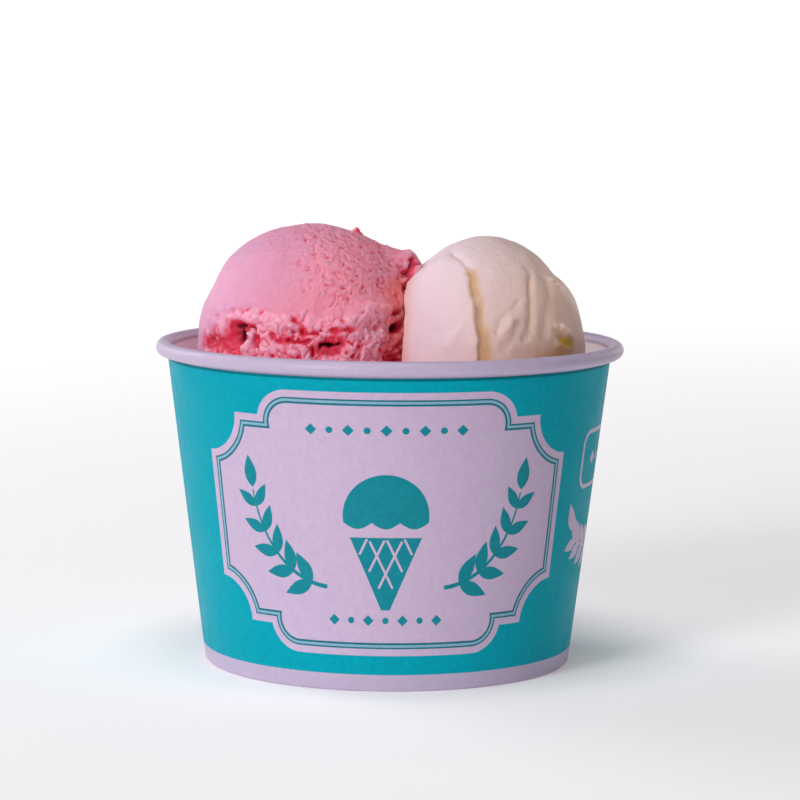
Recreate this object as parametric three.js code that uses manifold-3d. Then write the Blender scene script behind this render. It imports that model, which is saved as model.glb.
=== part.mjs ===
// A paper cup of gelato: two scoops, strawberry and vanilla, on gelato packed into a rolled-rim cup.
// Millimetres. +Z is up, the origin is the centre of the base, -Y is the front and +X is the right.
// An angle round the cup is measured from the front, and grows towards the right.
import * as THREE from "three";
import { mergeVertices } from "three/addons/utils/BufferGeometryUtils.js";
import Module from "manifold-3d";

const wasm = await Module();
wasm.setup();

// ---- Driving dimensions of the cup ----
const rimRadius = 47.5; // to the outside of the rolled rim
const cupHeight = 65.4;
const baseRadius = 37.05; // outside of the wall, at the table
const wallTopRadius = 44.85; // outside of the wall, just under the roll
const rollRadius = 1.5; // of the roll's section, outside
const paper = 0.5; // thickness of the board
const fold = 0.35; // rounding where the wall turns under
const bottomHeight = 6; // of the bottom disc's underside, above the table
const hemHeight = 5.2; // of the turned-up hem inside the base
const skirtDrop = 4.8; // how far the bottom disc's skirt reaches down
const lap = 0.45; // step of the side seam, where the wall's ends overlap
const seamAngle = -Math.PI / 2;
const gap = 0.3; // between neighbouring pieces
const turns = 64; // segments round the cup

// ---- Driving dimensions of the gelato ----
const level = 54; // mean height of the packed gelato round the scoops
const swell = { rise: 1.1, lengthX: 9, lengthY: 11, startX: 0.6, startY: -0.4 }; // broad spade marks
const ripple = { rise: 0.6, lengthX: 13, lengthY: 5.5 }; // narrower ones
const smear = { rise: 1.6, power: 8 }; // climb of the packed gelato against the wall
const meeting = { x: 3.6, turn: THREE.MathUtils.degToRad(4) }; // plane where the flavours meet
const capFade = { above: 0.8, below: 1.4 }; // how softly a scoop's smooth cap turns into torn gelato
const grain = 13; // subdivisions of a scoop's faces

const strawberry = {
  centre: new THREE.Vector3(-16, -1, 65.5),
  radii: new THREE.Vector3(23.5, 23.5, 23.5),
  // The smooth cap ends in a ragged edge. Its height is given at equal angles round the scoop.
  capEdge: { heights: [69, 73.5, 77, 72, 69, 71, 65, 71.5], step: 0.4, crag: 1 },
  // Each relief feature follows a path of [x, z] on the front (side -1), on the outline seen from
  // the front (side 0) or on the back (side 1).
  features: [
    { side: 0, rise: 3.9, reach: 5, path: [[2.8, 79.6]] }, // torn shoulder
    { side: 0, rise: -1.3, reach: 5, path: [[-36.9, 76]] }, // flattened flank
    { side: 0, rise: -1.3, reach: 4.5, path: [[-39.3, 67]] }, // foot of the flank
    { side: -1, rise: -2.6, reach: 3, path: [[-33, 66.2], [-27.5, 67.5]] }, // cave
    { side: -1, rise: -2.2, reach: 1.8, path: [[-14, 65.4], [-9.8, 65.8]] }, // slit
    { side: -1, rise: 1.5, reach: 2.4, path: [[-10.5, 69], [-5.5, 71.6], [-1.2, 72.6]] }, // curled lip
    { side: -1, rise: -2, reach: 1.8, path: [[0.4, 69.2]] }, // hole by the meeting line
    { side: -1, rise: -2, reach: 1.4, path: [[2.2, 80], [2.9, 78.6]] }, // hole in the torn shoulder
    { side: 1, rise: -2.4, reach: 3, path: [[-24, 67], [-18, 66.2]] }, // cave at the back
    { side: 1, rise: 1.4, reach: 2.6, path: [[-30, 70], [-26, 74]] }, // curled lip at the back
  ],
};

const vanilla = {
  centre: new THREE.Vector3(19, -4, 64.8),
  radii: new THREE.Vector3(20.5, 20.7, 21.9),
  capEdge: { heights: [60, 60, 61, 60, 60, 61, 60, 60], step: 0.6, crag: 0.4 },
  features: [
    { side: -1, rise: -1.2, reach: 1.8, path: [[12.8, 82.4], [15.4, 79.8], [16, 75]] }, // long fold, top
    { side: -1, rise: -1.1, reach: 1.7, path: [[16.6, 73.5], [18, 69], [18.7, 63.5]] }, // long fold, foot
    { side: -1, rise: -1, reach: 1.6, path: [[27, 81.5], [27.3, 74], [27.2, 68]] }, // second fold
    { side: -1, rise: 0.9, reach: 1.8, path: [[28.8, 81.5], [29.2, 75.5], [28.6, 69]] }, // its ridge
    { side: -1, rise: -0.8, reach: 1.6, path: [[21.9, 71.4], [24.2, 73.6], [26, 74]] }, // arc fold
    { side: -1, rise: -1.4, reach: 2, path: [[32.8, 67], [35.4, 67.4]] }, // pocket by the rim
    { side: 0, rise: -1.7, reach: 5, path: [[6.2, 82]] }, // flat above the meeting line
    { side: 0, rise: -1, reach: 3, path: [[4.2, 79.2]] }, // its lower end
    { side: 0, rise: -1.7, reach: 5, path: [[33.5, 80]] }, // flat on the right shoulder
    { side: 0, rise: -0.9, reach: 3, path: [[39, 69.5]] }, // flank
    { side: 1, rise: -1.2, reach: 1.8, path: [[12, 80], [13.5, 73], [12.5, 66]] }, // fold at the back
    { side: 1, rise: -1, reach: 1.7, path: [[24, 82], [26, 75], [25.5, 67]] }, // second fold at the back
  ],
};

// ---- Materials ----
function finish(colour, roughness) {
  return new THREE.MeshStandardMaterial({ color: colour, roughness, metalness: 0 });
}
const cupBoard = finish(0xd0bde1, 0.55);
const bottomBoard = finish(0xd6cfe0, 0.7);
const strawberryGelato = finish(0xe596b8, 0.5);
const vanillaGelato = finish(0xe3d3cf, 0.45);

// ---- Solids from geometries ----
const weld = 1e-4; // points nearer than this are one

function solid(geometry) {
  const bare = geometry.clone();
  bare.deleteAttribute("normal");
  bare.deleteAttribute("uv");
  const merged = mergeVertices(bare, weld);
  return new wasm.Manifold(new wasm.Mesh({
    numProp: 3,
    vertProperties: new Float32Array(merged.attributes.position.array),
    triVerts: new Uint32Array(merged.index.array),
  }));
}

// The largest connected body of a solid: what a cut leaves loose is dropped.
function mainBody(manifold) {
  const bodies = manifold.decompose();
  bodies.sort((a, b) => b.volume() - a.volume());
  return bodies[0];
}

function meshOf(manifold, name, material) {
  const cut = manifold.getMesh();
  const geometry = new THREE.BufferGeometry();
  geometry.setAttribute("position", new THREE.BufferAttribute(cut.vertProperties, 3));
  geometry.setIndex(new THREE.BufferAttribute(cut.triVerts, 1));
  return named(geometry, name, material);
}

function named(geometry, name, material) {
  geometry.computeVertexNormals();
  const mesh = new THREE.Mesh(geometry, material);
  mesh.name = name;
  return mesh;
}

// A profile of [radius, height] turned about the cup's axis.
function turned(profile) {
  const points = profile.map(([radius, height]) => new THREE.Vector2(radius, height));
  const geometry = new THREE.LatheGeometry(points, turns);
  geometry.rotateX(Math.PI / 2);
  return geometry;
}

// ---- Paper cup ----
const rollCentre = { radius: rimRadius - rollRadius, height: cupHeight - rollRadius };

function wallOuter(height) {
  return THREE.MathUtils.mapLinear(height, 0, rollCentre.height - rollRadius, baseRadius, wallTopRadius);
}

function wallInner(height) {
  return wallOuter(height) - paper;
}

// Points on the roll's section from one angle to another. 0 points away from the cup.
function rollArc(radius, fromDegrees, toDegrees) {
  const steps = 10;
  return Array.from({ length: steps + 1 }, (_, i) => {
    const angle = THREE.MathUtils.degToRad(THREE.MathUtils.lerp(fromDegrees, toDegrees, i / steps));
    return [rollCentre.radius + radius * Math.cos(angle), rollCentre.height + radius * Math.sin(angle)];
  });
}

const skirtOuter = (height) => wallInner(height) - gap;
const skirtInner = (height) => skirtOuter(height) - paper;
const hemOuter = (height) => skirtInner(height) - gap;
const hemInner = (height) => hemOuter(height) - paper;

// The side wall: one board that turns up inside the base as a hem, and curls outwards at the rim.
// The curl is hollow and stays open at its tip, which stops short of the wall.
function cupWall() {
  const curlTip = -120;
  const lapTop = cupHeight - 3 * rollRadius;
  const profile = [
    [hemInner(0), 0],
    [baseRadius - fold, 0],
    [wallOuter(fold), fold],
    [wallOuter(lapTop), lapTop],
    ...rollArc(rollRadius - paper, 180, curlTip),
    ...rollArc(rollRadius, curlTip, 180),
    [wallInner(paper), paper],
    [hemOuter(paper), paper],
    [hemOuter(hemHeight), hemHeight],
    [hemInner(hemHeight), hemHeight],
    [hemInner(0), 0],
  ];
  const geometry = turned(profile);
  addSideSeam(geometry, profile, [2, 3]);
  return geometry;
}

// Raises the outer end of the board over the inner one: a sharp step at the seam's angle, which fades
// over the next two segments. `raised` lists the profile points on the wall's outside.
function addSideSeam(geometry, profile, raised) {
  const position = geometry.attributes.position;
  const edge = Math.round((((seamAngle / (2 * Math.PI)) + 1) % 1) * turns);
  const stepAngle = THREE.MathUtils.degToRad(0.4);
  const lifts = [[edge - 1, seamAngle - stepAngle, 0], [edge, seamAngle, lap], [edge + 1, null, lap / 2]];
  for (const [turn, angle, lift] of lifts) {
    for (let point = 0; point < profile.length; point += 1) {
      const index = turn * profile.length + point;
      const [radius, height] = profile[point];
      const around = angle ?? (turn / turns) * 2 * Math.PI;
      const reach = radius + (raised.includes(point) ? lift : 0);
      position.setXYZ(index, reach * Math.sin(around), -reach * Math.cos(around), height);
    }
  }
}

// The bottom disc, with its rim turned down between the wall and the hem.
function cupBottom() {
  const skirtFoot = bottomHeight - skirtDrop;
  const top = bottomHeight + paper;
  return turned([
    [0, bottomHeight],
    [skirtInner(bottomHeight), bottomHeight],
    [skirtInner(skirtFoot), skirtFoot],
    [skirtOuter(skirtFoot), skirtFoot],
    [skirtOuter(top - fold), top - fold],
    [skirtOuter(top) - fold, top],
    [0, top],
  ]);
}

// ---- Gelato ----
// Height of the packed gelato: a swell, a slanting ripple, and a smear that climbs the wall.
function levelAt(x, y) {
  const across = Math.sin(x / swell.lengthX + swell.startX);
  const along = Math.cos(y / swell.lengthY + swell.startY);
  const slanting = Math.sin(x / ripple.lengthX + y / ripple.lengthY);
  const climb = (Math.hypot(x, y) / wallInner(level)) ** smear.power;
  return level + swell.rise * across * along + ripple.rise * slanting + smear.rise * climb;
}

// The packed gelato, from the bottom disc up to its uneven level.
function packed(lift) {
  const floor = bottomHeight + paper + gap;
  const rings = [1, 0.93, 0.78, 0.6, 0.4, 0.2, 0];
  const profile = [
    [0, floor],
    [wallInner(floor) - gap, floor],
    ...rings.map((share) => [share * (wallInner(level) - gap), level]),
  ];
  const geometry = turned(profile);
  const position = geometry.attributes.position;
  for (let i = 0; i < position.count; i += 1) {
    if (position.getZ(i) > (floor + level) / 2) {
      position.setZ(i, levelAt(position.getX(i), position.getY(i)) + lift);
    }
  }
  return solid(geometry);
}

// A block whose face is the meeting plane moved along X, and which fills the side that `side` names.
function sideBlock(side, shift) {
  const size = 4 * rimRadius;
  const block = new THREE.BoxGeometry(size, size, size);
  block.translate((side * size) / 2, 0, 0);
  block.rotateZ(-meeting.turn);
  block.translate(meeting.x + shift, 0, level);
  return solid(block);
}

// Distance from a point to a path of points in space.
function distanceToPath(point, path) {
  if (path.length === 1) {
    return point.distanceTo(path[0]);
  }
  const nearest = new THREE.Vector3();
  const distances = path.slice(1).map((end, i) => {
    new THREE.Line3(path[i], end).closestPointToPoint(point, true, nearest);
    return point.distanceTo(nearest);
  });
  return Math.min(...distances);
}

// A feature's [x, z] points carried onto the scoop's ellipsoid, on the front or the back.
function onScoop(scoop, feature) {
  return feature.path.map(([x, z]) => {
    const across = (x - scoop.centre.x) / scoop.radii.x;
    const up = (z - scoop.centre.z) / scoop.radii.z;
    const depth = Math.sqrt(Math.max(0, 1 - across * across - up * up));
    return new THREE.Vector3(x, scoop.centre.y + feature.side * depth * scoop.radii.y, z);
  });
}

// Height of the cap's edge at an angle round the scoop, eased between the given heights.
function edgeHeight(heights, angle) {
  const place = (((angle / (2 * Math.PI)) % 1) + 1) % 1 * heights.length;
  const before = Math.floor(place) % heights.length;
  const after = (before + 1) % heights.length;
  return THREE.MathUtils.lerp(heights[before], heights[after], THREE.MathUtils.smoothstep(place % 1, 0, 1));
}

// Crumbly relief between -1 and 1: the product of three slanting waves. Each wave grows by a radian
// along a slope in X, Y and Z.
const crumbs = [
  { slope: new THREE.Vector3(1 / 1.9, 0, 1 / 3.1), start: 0 },
  { slope: new THREE.Vector3(-1 / 4.3, 1 / 2.1, 0), start: 1.7 },
  { slope: new THREE.Vector3(0, 1 / 3.7, 1 / 1.7), start: 2 },
];

function crumble(point) {
  return crumbs.reduce((product, { slope, start }) => product * Math.sin(point.dot(slope) + start), 1);
}

// How far the surface stands out of its ellipsoid at a point on it.
function relief(scoop, paths, point) {
  const { heights, step, crag } = scoop.capEdge;
  const angle = Math.atan2(point.x - scoop.centre.x, scoop.centre.y - point.y);
  const drop = edgeHeight(heights, angle) - point.z;
  const below = THREE.MathUtils.smoothstep(drop, -capFade.above, capFade.below);
  const shaped = scoop.features.reduce((sum, feature, i) => {
    const distance = distanceToPath(point, paths[i]);
    return sum + feature.rise * Math.exp(-((distance / feature.reach) ** 2));
  }, 0);
  return shaped + below * (crag * crumble(point) - step);
}

// A scoop: an ellipsoid of even triangles, pushed in and out by its relief.
function scoopSolid(scoop, growth) {
  const geometry = new THREE.IcosahedronGeometry(1, grain);
  const position = geometry.attributes.position;
  const paths = scoop.features.map((feature) => onScoop(scoop, feature));
  const point = new THREE.Vector3();
  const outward = new THREE.Vector3();
  for (let i = 0; i < position.count; i += 1) {
    outward.fromBufferAttribute(position, i);
    point.copy(outward).multiply(scoop.radii).add(scoop.centre);
    point.addScaledVector(outward, relief(scoop, paths, point) + growth);
    position.setXYZ(i, point.x, point.y, point.z);
  }
  return solid(geometry);
}

// Vanilla takes its side of the cup. Strawberry takes the other side, and what its scoop leans over
// the meeting plane is kept, a gap clear of the vanilla.
const vanillaBody = scoopSolid(vanilla, 0).add(packed(0)).intersect(sideBlock(1, gap / 2));
const vanillaRoom = scoopSolid(vanilla, gap).add(packed(gap)).intersect(sideBlock(1, -gap / 2));
const strawberryPacked = packed(0).intersect(sideBlock(-1, -gap / 2));
const strawberryBody = scoopSolid(strawberry, 0).add(strawberryPacked).subtract(vanillaRoom);

// ---- The whole ----
const gelatoCup = new THREE.Group();
gelatoCup.add(named(cupWall(), "cup_wall", cupBoard));
gelatoCup.add(named(cupBottom(), "cup_bottom", bottomBoard));
gelatoCup.add(meshOf(mainBody(strawberryBody), "strawberry_gelato", strawberryGelato));
gelatoCup.add(meshOf(mainBody(vanillaBody), "vanilla_gelato", vanillaGelato));

export default gelatoCup;
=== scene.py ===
# %% [markdown]
# # A paper cup with two scoops of gelato
#
# This lesson dresses a plain model of a gelato cup. The plain model, the frame, already has every
# piece at its real size and place: the cup's wall, its bottom and the two gelatos. Here each piece
# gets the surface one sees: folded and printed board, and gelato with its crags, pits and folds.
# The cup stands at the origin with +Z up, and -Y is its front. Shapes are worked out in
# millimetres, and become metres only when they go into a mesh.

# %% Load the frame
import itertools

import bpy
import numpy as np
from mathutils import Matrix, Vector


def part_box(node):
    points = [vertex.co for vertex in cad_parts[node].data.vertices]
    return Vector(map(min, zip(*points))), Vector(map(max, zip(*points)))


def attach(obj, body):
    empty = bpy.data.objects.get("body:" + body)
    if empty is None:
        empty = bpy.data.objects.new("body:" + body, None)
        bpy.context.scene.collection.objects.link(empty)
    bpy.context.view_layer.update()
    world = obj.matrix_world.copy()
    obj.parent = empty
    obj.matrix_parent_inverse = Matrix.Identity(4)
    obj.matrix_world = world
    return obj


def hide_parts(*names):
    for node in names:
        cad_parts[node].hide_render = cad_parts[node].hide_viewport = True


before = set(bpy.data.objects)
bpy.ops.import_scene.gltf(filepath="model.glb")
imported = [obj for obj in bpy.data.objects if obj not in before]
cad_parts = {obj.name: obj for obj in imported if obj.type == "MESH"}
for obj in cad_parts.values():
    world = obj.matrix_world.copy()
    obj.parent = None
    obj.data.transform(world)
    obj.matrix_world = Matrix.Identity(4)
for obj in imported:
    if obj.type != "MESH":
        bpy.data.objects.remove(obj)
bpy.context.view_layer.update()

MM = 0.001

# %% [markdown]
# ## The camera
#
# The cup is looked at from the front and slightly above, from two thirds of a metre away, with a
# long lens: far enough for the wall's taper to look as it does in the hand. The camera is placed
# by its distance, height and angles, and its field of view by a focal length in image widths.

# %% Camera
camera_distance = 650.0
camera_height = 125.33
camera_pitch, camera_roll, camera_yaw = np.radians([6.35, 0.479, 0.189])
focal_in_widths = 3206.2 / 800
sensor = 36.0


def camera_axes(pitch, roll, yaw):
    """Right, up and forward of the camera: pitch turns forward down from +Y, yaw turns it to the
    right, and roll turns right and up about forward."""
    ahead = np.array([0.0, np.cos(pitch), -np.sin(pitch)])
    side = np.array([1.0, 0.0, 0.0])
    above = np.cross(side, ahead)
    forward = ahead * np.cos(yaw) + side * np.sin(yaw)
    side = np.cross(forward, above)
    right = side * np.cos(roll) + above * np.sin(roll)
    up = above * np.cos(roll) - side * np.sin(roll)
    return right, up, forward


right, up, forward = camera_axes(camera_pitch, camera_roll, camera_yaw)
camera = bpy.data.objects.new("camera", bpy.data.cameras.new("camera"))
camera.data.sensor_width = sensor
camera.data.lens = focal_in_widths * sensor
bpy.context.scene.collection.objects.link(camera)
turn = Matrix([list(axis) for axis in zip(right, up, -forward)]).to_4x4()
camera.matrix_world = Matrix.Translation(Vector((0, -camera_distance, camera_height)) * MM) @ turn
bpy.context.scene.camera = camera
print("lens in mm:", round(camera.data.lens, 1))

# %% [markdown]
# ## From arrays to meshes
#
# Nearly every surface here is a grid of points: rows run one way over the piece and columns the
# other. Neighbouring points make quads. Columns always close into a ring. Rows either close too,
# as on a ring or a strip, or end in a pole at each end, as on a ball. A list of such grids can be
# joined into one mesh, and the signed volume under the faces says whether they point outwards.


# %% Faces of a grid
def ring_quads(rows, columns, wrap_rows):
    """Quads (row, column), (row, column + 1), (row + 1, column + 1), (row + 1, column)."""
    row = np.arange(rows if wrap_rows else rows - 1)[:, None]
    column = np.arange(columns)[None, :]
    next_row, next_column = (row + 1) % rows, (column + 1) % columns
    corners = [row * columns + column, row * columns + next_column,
               next_row * columns + next_column, next_row * columns + column]
    return np.stack(np.broadcast_arrays(*corners), -1).reshape(-1, 4)


def closed_grid(grid):
    """A closed body from a grid [rows, columns, xyz] whose first and last rows are poles.
    Each pole is one point, the mean of its row, joined to the next row by triangles."""
    rows, columns = grid.shape[0] - 2, grid.shape[1]
    points = np.concatenate([grid[1:-1].reshape(-1, 3), grid[[0, -1]].mean(axis=1)])
    first, last = rows * columns, rows * columns + 1
    column = np.arange(columns)
    after = (column + 1) % columns
    base = (rows - 1) * columns
    triangles = np.concatenate([
        np.stack([np.full(columns, first), after, column], -1),
        np.stack([np.full(columns, last), base + column, base + after], -1),
    ])
    return points, ring_quads(rows, columns, False), triangles


def ring_grid(grid):
    """A closed ring from a grid [rows, columns, xyz] whose rows wrap round as its columns do."""
    rows, columns = grid.shape[:2]
    return grid.reshape(-1, 3), ring_quads(rows, columns, True), np.zeros((0, 3), int)


# %% Grids into one mesh
def signed_volume(points, quads, triangles):
    """A sixth of the sum over all triangles of a . (b x c): positive when faces point outwards."""
    faces = np.concatenate([quads[:, [0, 1, 2]], quads[:, [0, 2, 3]], triangles])
    a, b, c = points[faces[:, 0]], points[faces[:, 1]], points[faces[:, 2]]
    return np.einsum("ij,ij->", a, np.cross(b, c)) / 6


def put_mesh(name, bodies, sharp_degrees=40):
    """One object at the origin from closed bodies (points, quads, triangles), in millimetres."""
    points, quads, triangles, count = [], [], [], 0
    for body_points, body_quads, body_triangles in bodies:
        if signed_volume(body_points, body_quads, body_triangles) < 0:
            body_quads, body_triangles = body_quads[:, ::-1], body_triangles[:, ::-1]
        points.append(body_points)
        quads.append(body_quads + count)
        triangles.append(body_triangles + count)
        count += len(body_points)
    points, quads, triangles = map(np.concatenate, (points, quads, triangles))
    sides = np.concatenate([np.full(len(quads), 4), np.full(len(triangles), 3)])
    mesh = bpy.data.meshes.new(name)
    mesh.vertices.add(len(points))
    mesh.loops.add(int(sides.sum()))
    mesh.polygons.add(len(sides))
    mesh.vertices.foreach_set("co", (points * MM).astype(np.float32).ravel())
    mesh.loops.foreach_set("vertex_index", np.concatenate([quads.ravel(), triangles.ravel()]))
    mesh.polygons.foreach_set("loop_start", np.cumsum(sides) - sides)
    mesh.update(calc_edges=True)
    mesh.validate()
    mesh.shade_smooth()
    mesh.set_sharp_from_angle(angle=np.radians(sharp_degrees))
    piece = bpy.data.objects.new(name, mesh)
    bpy.context.scene.collection.objects.link(piece)
    print(f"{name}: {len(points)} points, {2 * len(quads) + len(triangles)} triangles")
    return piece


# %% Values, material and body
def put_values(piece, name, values):
    """Keeps one number a point on the mesh, for the material to read by that name."""
    attribute = piece.data.attributes.new(name, "FLOAT", "POINT")
    attribute.data.foreach_set("value", np.asarray(values, np.float32).ravel())


def dress(piece, material, node=None):
    """Gives a finished piece its material and body, and hides the frame's node it stands for."""
    piece.data.materials.append(material)
    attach(piece, "root")
    if node:
        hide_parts(node)


# %% [markdown]
# ## Noise
#
# Gelato is irregular at every scale, so three kinds of noise are worked out in space, on whole
# arrays of points. Smooth noise makes lumps. Layers of it at falling sizes make rough ground.
# Scattered cells make chunks with cracks between them. All draws come from seeded generators.


# %% Noise in space
lattice_side = 32
noise_shift, cell_shift = np.array([3.7, 8.1, 5.3]), np.array([2.9, 6.7, 4.1])
noise_gain = 1.6
random_directions = np.random.default_rng(11).normal(size=(lattice_side,) * 3 + (3,))
random_directions /= np.linalg.norm(random_directions, axis=-1, keepdims=True)
scattered_points = np.random.default_rng(12).random((lattice_side,) * 3 + (4,))


def smooth(low, high, values):
    """Eases from 0 at `low` to 1 at `high`: t * t * (3 - 2 * t)."""
    t = np.clip((values - low) / (high - low), 0, 1)
    return t * t * (3 - 2 * t)


def bell(distance, width):
    """A soft hump: exp(-(distance / width)^2)."""
    return np.exp(-(distance / width) ** 2)


def noise(points, size, seed=0):
    """Gradient noise about 0, mostly within -0.6 to 0.6 after its gain. In each cube of side `size`
    the eight corners' random directions are dotted with the way to the point, and blended by eased
    weights. A seed shifts the points to another part of the lattice."""
    place = points / size + noise_shift * (seed + 1)
    cell = np.floor(place).astype(int)
    within = place - cell
    ease = within ** 3 * (within * (within * 6 - 15) + 10)
    total = np.zeros(points.shape[:-1])
    for corner in itertools.product((0, 1), repeat=3):
        directions = random_directions[tuple(np.moveaxis((cell + corner) % lattice_side, -1, 0))]
        weight = np.prod(np.where(corner, ease, 1 - ease), axis=-1)
        total += weight * np.einsum("...i,...i->...", directions, within - corner)
    return total * noise_gain


def rough(points, size, layers, seed=0):
    """Sum of noise layers, each half as large and half as strong as the one before."""
    return sum(noise(points, size / 2 ** i, seed + i) / 2 ** i for i in range(layers))


def cells(points, size, crack_width, seed=0):
    """Lumps round points scattered one to a cube, with cracks where the nearest two are about
    equally far: bell(second - nearest, crack_width), and the nearest lump's own random number."""
    place = points / size + cell_shift * (seed + 1)
    cube = np.floor(place).astype(int)
    nearest = np.full(points.shape[:-1], 9.0)
    second = nearest.copy()
    value = np.zeros_like(nearest)
    for offset in itertools.product((-1, 0, 1), repeat=3):
        draw = scattered_points[tuple(np.moveaxis((cube + offset) % lattice_side, -1, 0))]
        distance = np.linalg.norm(cube + offset + draw[..., :3] - place, axis=-1)
        closer = distance < nearest
        second = np.where(closer, nearest, np.minimum(second, distance))
        value = np.where(closer, draw[..., 3], value)
        nearest = np.where(closer, distance, nearest)
    return bell(second * size - nearest * size, crack_width), value


noise_sample = noise(np.linspace([0, 0, 0], [90, 40, 60], 2000), 3.0)
print("noise along a line:", round(noise_sample.min(), 2), "to", round(noise_sample.max(), 2))

# %% [markdown]
# ## Materials
#
# Coated board is pale lilac, faintly mottled, with short fibres under a thin satin coat. Ink is the
# same board with colour on it, so its finish is made by the same function with other numbers. Each
# number that is the same all over the surface is set on the shader's own socket, and only what
# varies comes from textures.


# %% Helpers for materials
def colour(red, green, blue):
    """Linear colour from the 0 to 255 numbers a screen shows."""
    share = np.array([red, green, blue]) / 255
    return (*np.where(share <= 0.04045, share / 12.92, ((share + 0.055) / 1.055) ** 2.4), 1.0)


class Finish:
    """A node material: its tree, and short ways to add what every finish here uses."""

    def __init__(self, name, **sockets):
        self.material = bpy.data.materials.new(name)
        self.material.use_nodes = True
        self.tree = self.material.node_tree
        self.shader = self.tree.nodes["Principled BSDF"]
        for socket, value in sockets.items():
            self.shader.inputs[socket.replace("_", " ")].default_value = value
        self.place = self.node("ShaderNodeTexCoord").outputs["Object"]

    def node(self, kind, settings=(), **inputs):
        """Adds a node, sets its properties, and links or sets its inputs by their names."""
        made = self.tree.nodes.new(kind)
        for name, value in dict(settings).items():
            setattr(made, name, value)
        for name, value in inputs.items():
            self.feed(made.inputs[name.replace("_", " ")], value)
        return made

    def feed(self, socket, value):
        """Links an output to the socket, or sets the socket to a plain value."""
        if isinstance(value, bpy.types.NodeSocket):
            self.tree.links.new(value, socket)
        else:
            socket.default_value = value

    def grain(self, size_mm, detail=2.0, roughness=0.5, place=None):
        """Noise with features of about that many millimetres, 0 to 1."""
        made = self.node("ShaderNodeTexNoise", Vector=place or self.place, Scale=1 / (size_mm * MM),
                         Detail=detail, Roughness=roughness)
        return made.outputs["Fac"]

    def value(self, name):
        """A number a point that the mesh keeps under this name."""
        return self.node("ShaderNodeAttribute", {"attribute_name": name}).outputs["Fac"]

    def span(self, value, low, high, to_low=0.0, to_high=1.0):
        """Carries low..high to to_low..to_high, easing at both ends."""
        made = self.node("ShaderNodeMapRange", {"interpolation_type": "SMOOTHSTEP"})
        for index, number in enumerate((value, low, high, to_low, to_high)):
            self.feed(made.inputs[index], number)
        return made.outputs["Result"]

    def mix_add(self, value, times, plus):
        """value * times + plus."""
        made = self.node("ShaderNodeMath", {"operation": "MULTIPLY_ADD"})
        for index, given in enumerate((value, times, plus)):
            self.feed(made.inputs[index], given)
        return made.outputs[0]

    def blend(self, factor, first, second):
        """Colour from first to second as factor goes from 0 to 1."""
        made = self.node("ShaderNodeMix", {"data_type": "RGBA"})
        for index, given in ((0, factor), (6, first), (7, second)):
            self.feed(made.inputs[index], given)
        return made.outputs[2]

    def bump(self, height, depth_mm, normal=None):
        """Bends the normal as a relief of that depth would."""
        made = self.node("ShaderNodeBump", Height=height, Distance=depth_mm * MM, Strength=1.0)
        if normal:
            self.feed(made.inputs["Normal"], normal)
        return made.outputs["Normal"]

    def finish(self, base, roughness=None, normal=None):
        """Joins what varies over the surface to the shader, and gives the material."""
        for socket, value in (("Base Color", base), ("Roughness", roughness), ("Normal", normal)):
            if value is not None:
                self.feed(self.shader.inputs[socket], value)
        return self.material


# %% [markdown]
# ## The board wall
#
# The wall is one sheet of coated board. It is bent into a cone and lapped at a side seam, its foot
# is folded up inside as a hem, and its top is curled outwards into a hollow roll. A curl could be
# bent with a modifier, but its section is known, so the whole wall is one profile of radius and
# height carried round the axis. Only the outside knows the seam, where the radius steps out by most
# of the board's thickness and fades back.

# %% Measures of the cup
rim_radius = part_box("cup_wall")[1].x / MM
cup_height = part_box("cup_wall")[1].z / MM
base_radius, wall_top_radius = 37.05, 44.85  # of the wall's outside, at the table and under the roll
roll_radius = 1.5
board = 0.5  # thickness
gap = 0.3  # between two layers of board, or board and gelato
bottom_height = 6.0
hem_height, hem_flare, hem_toe = 5.2, 0.6, 0.3  # its top leans outwards, its foot is set back
lap, lap_width, seam_angle = 0.35, 7.0, -np.pi / 2  # step, width and place of the side seam
off_seam = 1e-4  # radians
roll_middle = np.array([rim_radius - roll_radius, cup_height - roll_radius])
roll_foot = cup_height - 2 * roll_radius
print(f"cup: {2 * rim_radius:.1f} mm across the rim, {cup_height:.1f} mm high")


def wall_outer(height):
    """Radius of the wall's outside: a straight line from the base to the foot of the roll."""
    return base_radius + (wall_top_radius - base_radius) * height / roll_foot


def wall_inner(height):
    """Radius of the wall's inside, one board in from its outside."""
    return wall_outer(height) - board


def seam_lift(angle):
    """Rise of the outside near the seam: `lap` at the seam's edge, falling in a straight line
    over the lap's width to one side, and nothing on the other."""
    beyond = np.mod(angle - seam_angle + np.pi, 2 * np.pi) - np.pi
    return lap * np.clip(1 - beyond * base_radius / lap_width, 0, 1) * (beyond >= 0)


def on_cup(angle, radius, height):
    """Point at an angle from the front, growing to the right."""
    return np.stack(np.broadcast_arrays(radius * np.sin(angle), -radius * np.cos(angle), height), -1)


def arc(middle, radius, start, end, count):
    """Points [radius, height] on a circle's arc, its angles in degrees from straight out."""
    angle = np.radians(np.linspace(start, end, count))
    return np.stack([middle[0] + radius * np.cos(angle), middle[1] + radius * np.sin(angle)], -1)


# %% The wall's profile, carried round the axis
def line(start, end, count):
    """Evenly spaced points from start to end."""
    return np.linspace(start, end, count)


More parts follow.
